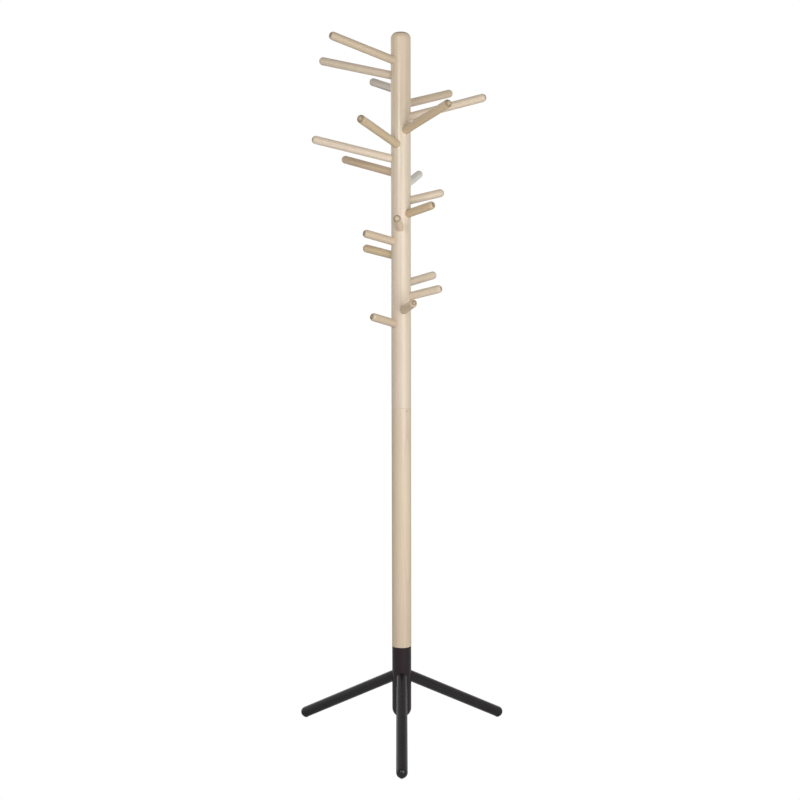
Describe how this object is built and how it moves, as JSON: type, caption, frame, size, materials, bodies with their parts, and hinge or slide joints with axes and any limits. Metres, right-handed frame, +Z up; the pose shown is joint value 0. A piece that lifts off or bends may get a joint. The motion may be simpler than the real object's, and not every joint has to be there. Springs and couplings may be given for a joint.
{
  "type": "standing coat rack",
  "caption": "Free-standing round wooden pole with upward-tilted pegs in a falling spiral, on a black round hub with splayed straight legs; holds coats, hats and bags.",
  "frame": {"origin": "on the floor, under the pole's axis, at the centre of the circle through the three feet", "axes": "+Z up along the pole, the front leg points to -Y, +X to the right seen from the front"},
  "size_m": [0.5484, 0.5282, 1.8],
  "materials": {
    "pole_wood": "clear matt lacquer on pale birch",
    "peg_wood": "clear matt lacquer on pale birch",
    "black_steel": "satin black powder coat",
    "stud_steel": "zinc plated",
    "insert_metal": "plain",
    "glide": "milky, clear rubber"
  },
  "bodies": {
    "root": {"pole_upper": "pole_wood", "pole_lower": "pole_wood", "joint_stud": "stud_steel", "joint_insert_upper": "insert_metal", "joint_insert_lower": "insert_metal", "hub_stud": "stud_steel", "base_insert": "insert_metal", "peg_01": "peg_wood", "peg_02": "peg_wood", "peg_03": "peg_wood", "peg_04": "peg_wood", "peg_05": "peg_wood", "peg_06": "peg_wood", "peg_07": "peg_wood", "peg_08": "peg_wood", "peg_09": "peg_wood", "peg_10": "peg_wood", "peg_11": "peg_wood", "peg_12": "peg_wood", "peg_13": "peg_wood", "peg_14": "peg_wood", "peg_15": "peg_wood", "peg_16": "peg_wood", "peg_17": "peg_wood", "peg_18": "peg_wood", "peg_19": "peg_wood", "peg_20": "peg_wood", "base_hub": "black_steel", "leg_front": "black_steel", "leg_stud_front": "stud_steel", "glide_front": "glide", "leg_rear_right": "black_steel", "leg_stud_rear_right": "stud_steel", "glide_rear_right": "glide", "leg_rear_left": "black_steel", "leg_stud_rear_left": "stud_steel", "glide_rear_left": "glide"}
  },
  "joints": []
}
